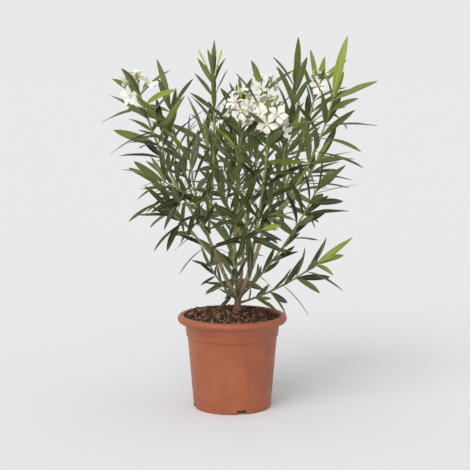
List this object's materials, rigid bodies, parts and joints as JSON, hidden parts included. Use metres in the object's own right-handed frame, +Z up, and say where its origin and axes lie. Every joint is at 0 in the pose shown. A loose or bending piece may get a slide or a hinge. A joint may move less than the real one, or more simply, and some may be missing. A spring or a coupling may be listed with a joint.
{
  "type": "potted oleander",
  "caption": "White-flowered oleander shrub with several thin stems and whorls of long narrow leaves, in a terracotta-coloured round plastic pot.",
  "frame": {"origin": "middle of the pot's flat underside", "axes": "+Z up, -Y towards the front of the plant as pictured, +X to its right"},
  "size_m": [0.5892, 0.5717, 0.8098],
  "materials": {
    "pot": "terracotta-coloured moulded plastic, satin",
    "soil": "damp potting compost with bark chips",
    "bark": "smooth grey-brown bark",
    "foliage": "leathery dark green leaves, with white flowers"
  },
  "bodies": {
    "root": {"pot": "pot", "soil": "soil", "trunk": "bark", "bough_left_low": "bark", "bough_left_high": "bark", "bough_centre": "bark", "bough_right": "bark", "bough_back": "bark", "bough_front": "bark", "foliage_left_side": "foliage", "foliage_left_flower": "foliage", "foliage_left_top": "foliage", "foliage_left_back": "foliage", "foliage_left_front": "foliage", "foliage_centre_flower": "foliage", "foliage_centre_top": "foliage", "foliage_front_flower": "foliage", "foliage_front_low": "foliage", "foliage_right_top": "foliage", "foliage_right_head": "foliage", "foliage_right_inner": "foliage", "foliage_right_side": "foliage", "foliage_back_flower": "foliage", "foliage_back_left": "foliage", "foliage_back_right": "foliage", "foliage_right_mid": "foliage", "foliage_right_low": "foliage", "foliage_low_left": "foliage", "foliage_low_back": "foliage", "foliage_low_front": "foliage", "foliage_low_middle": "foliage"}
  },
  "joints": []
}
